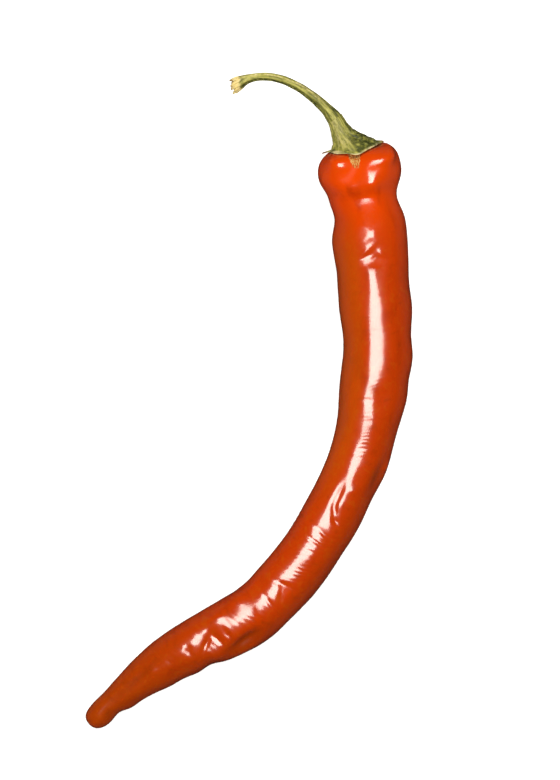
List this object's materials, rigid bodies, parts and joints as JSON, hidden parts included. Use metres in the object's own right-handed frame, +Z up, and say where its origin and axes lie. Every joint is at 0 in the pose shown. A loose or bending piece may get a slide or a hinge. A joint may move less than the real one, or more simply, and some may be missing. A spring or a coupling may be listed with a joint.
{
  "type": "chilli pepper",
  "caption": "Long red chilli pepper lying on its side: a bent, wrinkled pod with lobed shoulders, a toothed green calyx and an arched stem with a torn end.",
  "frame": {"origin": "on the surface the chilli lies on, under the middle of its bounding box", "axes": "+Z up from that surface; +Y from the tip's end of the pod towards the shoulders and the stem; +X towards the outside of the pod's bend"},
  "size_m": [0.0818, 0.1644, 0.0205],
  "materials": {
    "pod_skin": "glossy wrinkled vegetable skin",
    "calyx_green": "matte, finely ribbed and mottled",
    "stem_olive": "matte, lengthwise ridges"
  },
  "bodies": {
    "root": {"pod": "pod_skin", "calyx": "calyx_green", "stem": "stem_olive"}
  },
  "joints": []
}
